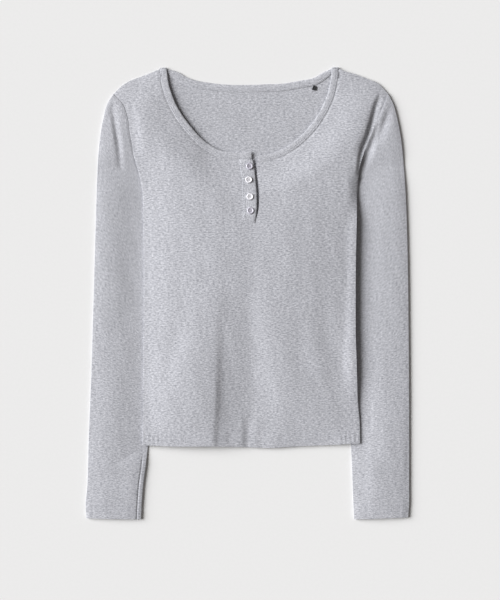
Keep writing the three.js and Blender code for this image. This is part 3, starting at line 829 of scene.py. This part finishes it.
def sleeve_surface(hand, u, v, side):
    x, y, wide = sleeve_plan(hand, u, v)
    tall = sleeve_tall(hand, x, y)
    top = side > 0
    near_out, near_in = u * wide, (1 - u) * wide
    near = np.minimum(near_out, near_in)
    tight = round_over(near / 0.9)
    domed = [1 - (1 - np.clip(away / reach, 0, 1)) ** 2
             for away, reach in ((near_out, 30), (near_in, 26))]
    z = tall * np.where(top, 0.6 + 0.02 * tight + 0.38 * domed[0] * domed[1],
                        0.58 - 0.58 * round_over(near / 5))
    from_cuff = (1 - v) * length_of(sleeve_rows[hand][:, :2])
    show = ease(near / 9) * ease((near - 1) / 6)
    bent = folded(x, y, SLEEVE_FOLDS[hand]) + 0.8 * gentle(x, y)
    hem = 0.2 * (1 - ease((from_cuff - CUFF_HEM) / 2)) * ease(near / 5)
    for row in CUFF_ROWS:
        hem = hem - 0.25 * np.exp(-((from_cuff - row) ** 2) / 1.0)
    seam = 0.5 * np.exp(-((away_from(x, y, arm_seam) / 1.6) ** 2)) * ease((y - UNDERARM[hand] - 20) / 30)
    if hand == "right":
        shown = ease((-238 - y) / 14)
        seam = seam + shown * 0.85 * np.exp(-(((near_in - 6.3) / 0.9) ** 2))
    z = z + np.where(top, show * bent + hem - seam, 0)
    return x, y, np.maximum(z, np.where(top, 1.2, 0.02)), wide


def sleeve_place(hand):
    def place(s, t):
        side = np.where(s <= 0.5, 1.0, -1.0)
        round_way = np.where(s <= 0.5, 2 * s, 2 - 2 * s)
        u = crowd_to_folds(round_way, 0.7)
        x, y, z, wide = sleeve_surface(hand, u, t, side)
        along = t * length_of(sleeve_rows[hand][:, :2])
        across = np.where(side > 0, u, 2 - u) * wide
        return x, y, z, across, along

    return place


# %% The two sleeves
for hand in ("right", "left"):
    cloth = lay_sheet(136, 270, sleeve_place(hand), round_closed=True)
    finish_piece(cloth, f"cloth_sleeve_{hand}", heather)
    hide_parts(f"sleeve_{hand}")

# %% [markdown]
# ## The neck strip
# The raw neck is bound with a strip of the same rib, folded over the edge. It runs up one front,
# turns over the shoulder, crosses the back and comes down the other front. It is modelled as a
# flattened roll: a grid wrapped round a slim oval section that follows the neck, closed and
# capped. At each neck point the section tips over with the cloth.


# %% Rolls that follow a line
def roll(name, around, along, centre, half, up, high, material, knit_length, boxy=0.8):
    """A closed strip: centre, half width and up are functions of the share along it."""
    bm = bmesh.new()
    bmesh.ops.create_grid(bm, x_segments=around, y_segments=along, size=0.5)
    flat = np.array([v.co[:2] for v in bm.verts])
    flat = (flat - flat.min(0)) / (flat.max(0) - flat.min(0))
    turn, t = flat[:, 0] * 2 * np.pi, flat[:, 1]
    middle, across, rise = centre(t), half(t), up(t)
    squared = np.abs(np.cos(turn)) ** boxy * np.sign(np.cos(turn))
    bulge = np.abs(np.sin(turn)) ** 0.85 * np.sign(np.sin(turn))
    where = middle + across * squared[:, None] + rise * (bulge * high / 2)[:, None]
    knit = bm.loops.layers.uv.new("knit")
    for vert, place in zip(bm.verts, where):
        vert.co = place * MM
    wide = 2 * np.linalg.norm(across, axis=1)
    for face in bm.faces:
        for loop in face.loops:
            k = loop.vert.index
            loop[knit].uv = (t[k] * knit_length * MM, squared[k] * wide[k] / 2 * MM)
    bmesh.ops.remove_doubles(bm, verts=bm.verts, dist=0.00002)
    rims = [e for e in bm.edges if e.is_boundary]
    bmesh.ops.holes_fill(bm, edges=rims, sides=0)
    bmesh.ops.recalc_face_normals(bm, faces=bm.faces)
    return finish_piece(bm, name, material)


def as_3d(x, y, z):
    return np.column_stack([x, y, z])


OVERLAP = 0.8  # how far the strip lies over the panel's raw edge
STRIP_HIGH = BINDING_THICK * 0.8
THREAD_SEAT = BINDING_THICK * 0.36  # from the strip's middle to its thread


def neck_path():
    """Free edge, sewn edge and the way up of the strip, from one button edge to the other."""
    free_all, sewn_all, up_all = [], [], []

    def front_part(hand):
        free, sewn = neck_line[hand], sewn_line(hand, OVERLAP)
        high = front_top(free[:, 0], free[:, 1]) - 0.6
        if hand == "right":  # the lapped end stands up on the strip below it
            high = high + 1.3 * ease((free[:, 0] + 12) / 16) * ease((free[:, 0] + 30) / 20)
        low = front_top(sewn[:, 0], sewn[:, 1]) - 1.15
        return as_3d(*free.T, high), as_3d(*sewn.T, low), np.tile([0.0, 0, 1], (len(free), 1))

    def turn_part(hand):
        free, sewn = neck_line[hand][0], sewn_line(hand, OVERLAP)[0]
        angle = np.linspace(0, np.pi, 26)[1:-1]
        radius, middle = BINDING_THICK / 2 + 0.15, BINDING_THICK + 0.15
        away, rise = np.sin(angle), np.cos(angle)
        ring = [as_3d(np.full_like(angle, p[0]), p[1] + radius * away, middle + radius * rise)
                for p in (free, sewn)]
        return ring[0], ring[1], np.column_stack([0 * away, away, rise])

    def back_part():
        free, sewn = neck_line["back"], sewn_line("back", OVERLAP)
        high = np.full(len(free), BINDING_THICK / 2)
        return as_3d(*free.T, high), as_3d(*sewn.T, high), np.tile([0.0, 0, -1], (len(free), 1))

    flip = lambda part: tuple(rows[::-1] for rows in part)
    parts = [flip(front_part("right")), turn_part("right"), back_part(), flip(turn_part("left")),
             front_part("left")]
    for free, sewn, up in parts:
        free_all.append(free)
        sewn_all.append(sewn)
        up_all.append(up)
    path = np.hstack([np.vstack(free_all), np.vstack(sewn_all), np.vstack(up_all)])
    moved = np.linalg.norm(np.diff((path[:, :3] + path[:, 3:6]) / 2, axis=0), axis=1)
    walked = np.concatenate([[0], np.cumsum(np.maximum(moved, 1e-4))])
    even = np.linspace(0, walked[-1], 1400)
    return np.column_stack([np.interp(even, walked, path[:, k]) for k in range(9)]), walked[-1]


neck_rows, neck_length = neck_path()


def neck_at(t):
    return np.column_stack(on(neck_rows, t))


binding = roll(
    "neck_strip", 20, 620,
    centre=lambda t: (neck_at(t)[:, :3] + neck_at(t)[:, 3:6]) / 2,
    half=lambda t: (neck_at(t)[:, :3] - neck_at(t)[:, 3:6]) / 2,
    up=lambda t: neck_at(t)[:, 6:],
    high=STRIP_HIGH, material=trim, knit_length=neck_length)
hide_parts("neck_binding")
print("neck strip", round(neck_length), "mm long")

# %% [markdown]
# ## The button opening
# Two strips close the slit. The upper one is folded double, sewn down along one side and left
# free along the other, and its free edge stands a little proud, which is why a dark line shows
# beside it. The lower one is narrow and lies deeper, under the upper strip.


# %% The two button strips
OPENING_FOOT, OPENING_TOP = 102, 200.2


def strip_line(key, low, high):
    rows = placket[key]
    y = np.linspace(low, high, 120)
    return np.column_stack([np.interp(y, rows[:, 0], rows[:, 1]), y])


def upper_rows(t):
    sewn, free = (strip_line(key, OPENING_FOOT, OPENING_TOP) for key in ("sewn", "free"))
    sewn_x, y = on(sewn, t)
    free_x = on(free, t)[0]
    lift = 0.7 + 0.2 * np.sin(t * 5.2 + 0.6)
    foot = 0.75 * (1 - ease(t / 0.09))
    z_sewn = front_top(sewn_x, y) - 0.45 - foot
    z_free = front_top(free_x, y) - 0.3 + lift * ease((t - 0.03) / 0.12) - foot
    return as_3d(sewn_x, y, z_sewn), as_3d(free_x, y, z_free)


upper = roll(
    "placket_upper", 24, 110,
    centre=lambda t: (upper_rows(t)[0] + upper_rows(t)[1]) / 2,
    half=lambda t: (upper_rows(t)[0] - upper_rows(t)[1]) / 2,
    up=lambda t: np.tile([0.0, 0, 1], (len(t), 1)),
    high=2.0, material=trim, knit_length=98, boxy=0.6)
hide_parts("placket_over")


def lower_place(s, t):
    y = 106 + 88 * t
    other = np.interp(y, placket["other"][:, 0], placket["other"][:, 1])
    x = -5 + (other + 11) * s
    z = front_top(x, y) - 2 * WALL - 1.5 * ease((other + 4 - x) / 8)
    return x, y, z, x, y


lower = finish_piece(lay_sheet(20, 60, lower_place, thick=1.2), "placket_lower", trim)
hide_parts("placket_under")

# %% [markdown]
# ## Buttons
# Each is a small disc turned on a lathe: a rounded rim, a dished middle and four holes. The
# profile is spun round, and the holes are cut with four thin rods. Thread crosses the dish in
# two bars. The buttons sit on the upper strip, each tipped a little its own way.

# %% Four buttons
BUTTON_WIDTH, BUTTON_THICK = 10.2, 1.9
BUTTONS = [(3, 189.6, -5, 3), (2, 169, 3, -4), (3.8, 143.7, 4, -3), (4.5, 122.7, -4, 5)]
PROFILE = [(0, 0), (0.7, 0), (0.88, 0.1), (0.98, 0.36), (1, 0.56), (0.95, 0.84), (0.85, 0.98),
           (0.78, 1), (0.7, 0.92), (0.62, 0.74), (0.52, 0.64), (0, 0.62)]


def turned_disc():
    bm = bmesh.new()
    half = BUTTON_WIDTH / 2
    verts = [bm.verts.new((r * half * MM, 0, h * BUTTON_THICK * MM)) for r, h in PROFILE]
    edges = [bm.edges.new(pair) for pair in zip(verts, verts[1:])]
    bmesh.ops.spin(bm, geom=verts + edges, cent=(0, 0, 0), axis=(0, 0, 1), angle=2 * math.pi,
                   steps=40, use_merge=True)
    bmesh.ops.remove_doubles(bm, verts=bm.verts, dist=0.000005)
    bmesh.ops.recalc_face_normals(bm, faces=bm.faces)
    return bm


def as_object(bm, name):
    mesh = bpy.data.meshes.new(name)
    bm.to_mesh(mesh)
    bm.free()
    made = bpy.data.objects.new(name, mesh)
    bpy.context.scene.collection.objects.link(made)
    return made


def four_rods():
    bm = bmesh.new()
    for turn in range(4):
        angle = math.pi / 4 + turn * math.pi / 2
        place = Matrix.Translation((1.45 * MM * math.cos(angle), 1.45 * MM * math.sin(angle), 0.001))
        bmesh.ops.create_cone(bm, cap_ends=True, segments=12, radius1=0.62 * MM,
                              radius2=0.62 * MM, depth=0.006, matrix=place)
    return as_object(bm, "rods")


def bored(disc):
    rods = four_rods()
    cut = disc.modifiers.new("holes", "BOOLEAN")
    cut.operation, cut.solver, cut.object = "DIFFERENCE", "EXACT", rods
    seen = disc.evaluated_get(bpy.context.evaluated_depsgraph_get())
    mesh = bpy.data.meshes.new_from_object(seen)
    bpy.data.objects.remove(rods)
    bpy.data.objects.remove(disc)
    return mesh


def button_seat(x, y):
    grade_x = float(front_top(np.array([x + 3.0]), np.array([y]))[0]
                    - front_top(np.array([x - 3.0]), np.array([y]))[0]) / 6
    grade_y = float(front_top(np.array([x]), np.array([y + 3.0]))[0]
                    - front_top(np.array([x]), np.array([y - 3.0]))[0]) / 6
    z = float(front_top(np.array([x]), np.array([y]))[0]) + 1.25
    return z, grade_x, grade_y


bored_disc = bored(as_object(turned_disc(), "disc"))
button_frames = []
for number, (x, y, tip_x, tip_y) in enumerate(BUTTONS, start=1):
    z, grade_x, grade_y = button_seat(x, y)
    seat = (Matrix.Translation((x * MM, y * MM, z * MM))
            @ Matrix.Rotation(math.atan(grade_y) + math.radians(tip_x * 0.6), 4, "X")
            @ Matrix.Rotation(-math.atan(grade_x) + math.radians(tip_y * 0.6), 4, "Y"))
    button_frames.append(seat)
    bm = bmesh.new()
    bm.from_mesh(bored_disc)
    bmesh.ops.transform(bm, matrix=seat, verts=bm.verts)
    # Buttons 2 and 3 take the pearl with painted light, buttons 1 and 4 the pearl with painted shade
    pearl_lit_or_shaded = pearl if number in (2, 3) else pearl_painted_shade
    disc = finish_piece(bm, f"pearl_button_{number}", pearl_lit_or_shaded)
    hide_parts(f"button_{number}")
print("button", len(bored_disc.polygons), "faces")

# %% [markdown]
# ## Stitches
# A stitch is a short, plump bar of thread that dips into the cloth at both ends. One small bar is
# made once and laid down again and again along each row: twin rows at the hem and the cuffs, a
# pair round the neck, and single rows and a small box at the button opening.


# %% One stitch, laid many times
def one_stitch():
    bm = bmesh.new()
    bmesh.ops.create_uvsphere(bm, u_segments=6, v_segments=4, radius=1)
    mesh = bpy.data.meshes.new("stitch")
    bm.to_mesh(mesh)
    bm.free()
    return mesh


stitch_mesh = one_stitch()


def stitch_frame(start, stop, thick, up):
    start, stop, up = Vector(start), Vector(stop), Vector(up).normalized()
    along = (stop - start).normalized()
    side = up.cross(along).normalized()
    rise = along.cross(side)
    long = (stop - start).length / 2
    turn = Matrix((along * long, side * thick, rise * thick)).transposed().to_4x4()
    return Matrix.Translation((start + stop) / 2) @ turn


def sew(name, stitches, thick=0.34, material=None):
    """stitches: (start, stop, up) in millimetres."""
    bm = bmesh.new()
    for start, stop, up in stitches:
        place = stitch_frame(np.array(start) * MM, np.array(stop) * MM, thick * MM, up)
        stitch_mesh.transform(place)
        bm.from_mesh(stitch_mesh)
        stitch_mesh.transform(place.inverted())
    return finish_piece(bm, name, material or thread)


def along_row(points, pitch=3.0, share=0.72, up=(0, 0, 1)):
    """Stitches along a 3-D line of points."""
    moved = np.concatenate([[0], np.cumsum(np.linalg.norm(np.diff(points, axis=0), axis=1))])
    count = max(int(moved[-1] // pitch), 1)
    made = []
    for k in range(count):
        low, high = (k + 0.5 - share / 2) * pitch, (k + 0.5 + share / 2) * pitch
        ends = [[float(np.interp(at, moved, points[:, c])) for c in range(3)] for at in (low, high)]
        made.append((ends[0], ends[1], up))
    return made


# %% Hem and neck stitching
def on_front(x, y, lift=0.05):
    return as_3d(x, y, front_surface(x, y) + lift)


hem_stitches = []
for row in HEM_ROWS:
    raised = hem_line[8:-8]
    hem_stitches += along_row(on_front(raised[:, 0], raised[:, 1] + row, 0.1), pitch=3.1)
hem_thread = sew("hem_thread", hem_stitches)


def neck_stitches(inward):
    made = []
    rows = neck_rows
    turned = np.abs(rows[:, 7]) > 0.02
    first, second = np.where(turned)[0][0], np.where(turned)[0][-1]
    back_start = np.where(turned & (np.arange(len(rows)) < len(rows) / 2))[0][-1]
    back_stop = np.where(turned & (np.arange(len(rows)) > len(rows) / 2))[0][0]
    share = inward / BINDING_WIDTH
    place = rows[:, 3:6] * (1 - share) + rows[:, :3] * share
    shown = place + rows[:, 6:] * THREAD_SEAT
    made += along_row(shown[:first], pitch=2.9)
    made += along_row(shown[second + 1:], pitch=2.9)
    seen_inside = place - rows[:, 6:] * THREAD_SEAT
    made += along_row(seen_inside[back_start + 1:back_stop], pitch=2.9)
    return made


neck_thread = sew("neck_thread", neck_stitches(2.4) + neck_stitches(5.0), thick=0.4)
print("stitches", len(hem_stitches), "at the hem")

# %% Cuff stitching
cuff_stitches = []
for hand in ("right", "left"):
    whole = length_of(sleeve_rows[hand][:, :2])
    for row in CUFF_ROWS:
        u = np.linspace(0.06, 0.94, 80)
        x, y, z, _ = sleeve_surface(hand, u, np.full_like(u, 1 - row / whole), np.ones_like(u))
        cuff_stitches += along_row(as_3d(x, y, z + 0.1), pitch=3.0)
sew("cuff_thread", cuff_stitches)

# %% [markdown]
# The opening carries the closest sewing of the top: an edge row down the sewn side, a box at the
# foot, and an upright buttonhole under each button, worked with bars of thread side by side.


# %% Stitching of the opening
def on_upper(x, y):
    t = (np.asarray(y, float) - OPENING_FOOT) / (OPENING_TOP - OPENING_FOOT)
    sewn, free = upper_rows(t)
    share = (np.asarray(x) - sewn[:, 0]) / (free[:, 0] - sewn[:, 0])
    z = sewn[:, 2] * (1 - share) + free[:, 2] * share + 0.96
    return as_3d(x, y, z)


opening_stitches = []
edge_y = np.linspace(107, 197, 60)
for inset in (1.2, 3.4):
    edge_x_line = np.interp(edge_y, placket["sewn"][:, 0], placket["sewn"][:, 1]) + inset
    opening_stitches += along_row(on_upper(edge_x_line, edge_y), pitch=2.7)
box = [(-5, 104.5), (9.5, 104.5), (9.5, 113), (-5, 113), (9.5, 104.5)]
for (ax, ay), (bx, by) in zip(box, box[1:]):
    share = np.linspace(0, 1, 12)
    opening_stitches += along_row(
        on_upper(ax + (bx - ax) * share, ay + (by - ay) * share), pitch=2.2)
for x, y, _, _ in BUTTONS:
    for side in (-0.95, 0.95):
        for step in np.arange(-6.4, 6.5, 0.62):
            ends = on_upper(np.array([x + side - 0.62, x + side + 0.62]),
                            np.array([y + 0.6 + step] * 2))
            opening_stitches.append((ends[0], ends[1], (0, 0, 1)))
opening_thread = sew("opening_thread", opening_stitches, thick=0.36)

button_bars = []
for seat in button_frames:
    for side in (-1.02, 1.02):
        ends = [seat @ Vector((side * MM, reach * MM, 1.2 * MM)) for reach in (-1.5, 1.5)]
        button_bars.append(([c / MM for c in ends[0]], [c / MM for c in ends[1]], (0, 0, 1)))
sew("button_thread", button_bars, thick=0.36)

# %% [markdown]
# ## The tab at the back of the neck
# A scrap of plain black tape is caught into the neck seam, a little off the middle. It is bare.

# %% The neck tab
def tab_place(s, t):
    a, b = (s - 0.5) * 5.2, (t - 0.5) * 7.0
    turn = -0.32
    x = 100.2 + a * math.cos(turn) - b * math.sin(turn)
    y = 307.2 + a * math.sin(turn) + b * math.cos(turn)
    z = back_under(x, y) + WALL + 1.4 + 0.35 * np.sin(t * 3) + 0.12 * np.cos(s * 7)
    return x, y, z, a, b


tab = finish_piece(lay_sheet(8, 14, tab_place, thick=0.6), "plain_tab", tape)
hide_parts("neck_tab")

# %% [markdown]
# ## The size of the back's cut
# Cloth keeps its area however it lies. The area the back has laid flat, without its seams and hems,
# is worked out here from its cut lines.


def plan_area(lines):
    ring = np.vstack(lines)
    x, y = ring[:, 0], ring[:, 1]
    return abs(float(x @ np.roll(y, -1) - y @ np.roll(x, -1))) / 2 * MM * MM


body_ring = [hem_line, body_edge["left"], shoulder_line["left"]]
back_area = plan_area([*body_ring, sewn_line("back", SEAM)[::-1],
                       shoulder_line["right"][::-1], body_edge["right"][::-1]])

# %% [markdown]
# ## Table, light and camera
# The top lies on a pale table under one broad, low light from its right side, with a faint fill
# all round. The light is a sun with a wide disc, so every shadow has the same soft edge. The
# camera hangs straight above.

# %% Table
bm = bmesh.new()
bmesh.ops.create_grid(bm, x_segments=4, y_segments=4, size=4.0)
bmesh.ops.translate(bm, verts=bm.verts, vec=(0, 0, -0.0002))
table = as_object(bm, "table")
table.data.materials.append(table_top)

# %% Light
LIGHT_HEIGHT, LIGHT_TURN = 30, 14
sun_data = bpy.data.lights.new("window", "SUN")
sun_data.energy = 5.6
sun_data.angle = math.radians(46)
sun_data.color = (0.985, 0.99, 1.0)
sun = bpy.data.objects.new("window", sun_data)
sun.rotation_euler = (0, -math.radians(90 - LIGHT_HEIGHT), -math.radians(LIGHT_TURN))
bpy.context.scene.collection.objects.link(sun)

world = bpy.data.worlds.new("room")
world.use_nodes = True
room = world.node_tree.nodes["Background"]
room.inputs["Color"].default_value = (1.0, 0.95, 0.9, 1)
room.inputs["Strength"].default_value = 0.17
bpy.context.scene.world = world

# %% Camera
camera_data = bpy.data.cameras.new("above")
camera_data.lens = 100
camera_data.sensor_width = 36
camera = bpy.data.objects.new("above", camera_data)
camera.location = (0.00375, -0.0105, 2.5)
camera_data.clip_end = 20
bpy.context.scene.collection.objects.link(camera)
bpy.context.scene.camera = camera

scene = bpy.context.scene
scene.view_settings.view_transform = "Standard"
scene.view_settings.look = "None"
scene.view_settings.exposure = 0
scene.view_settings.gamma = 1
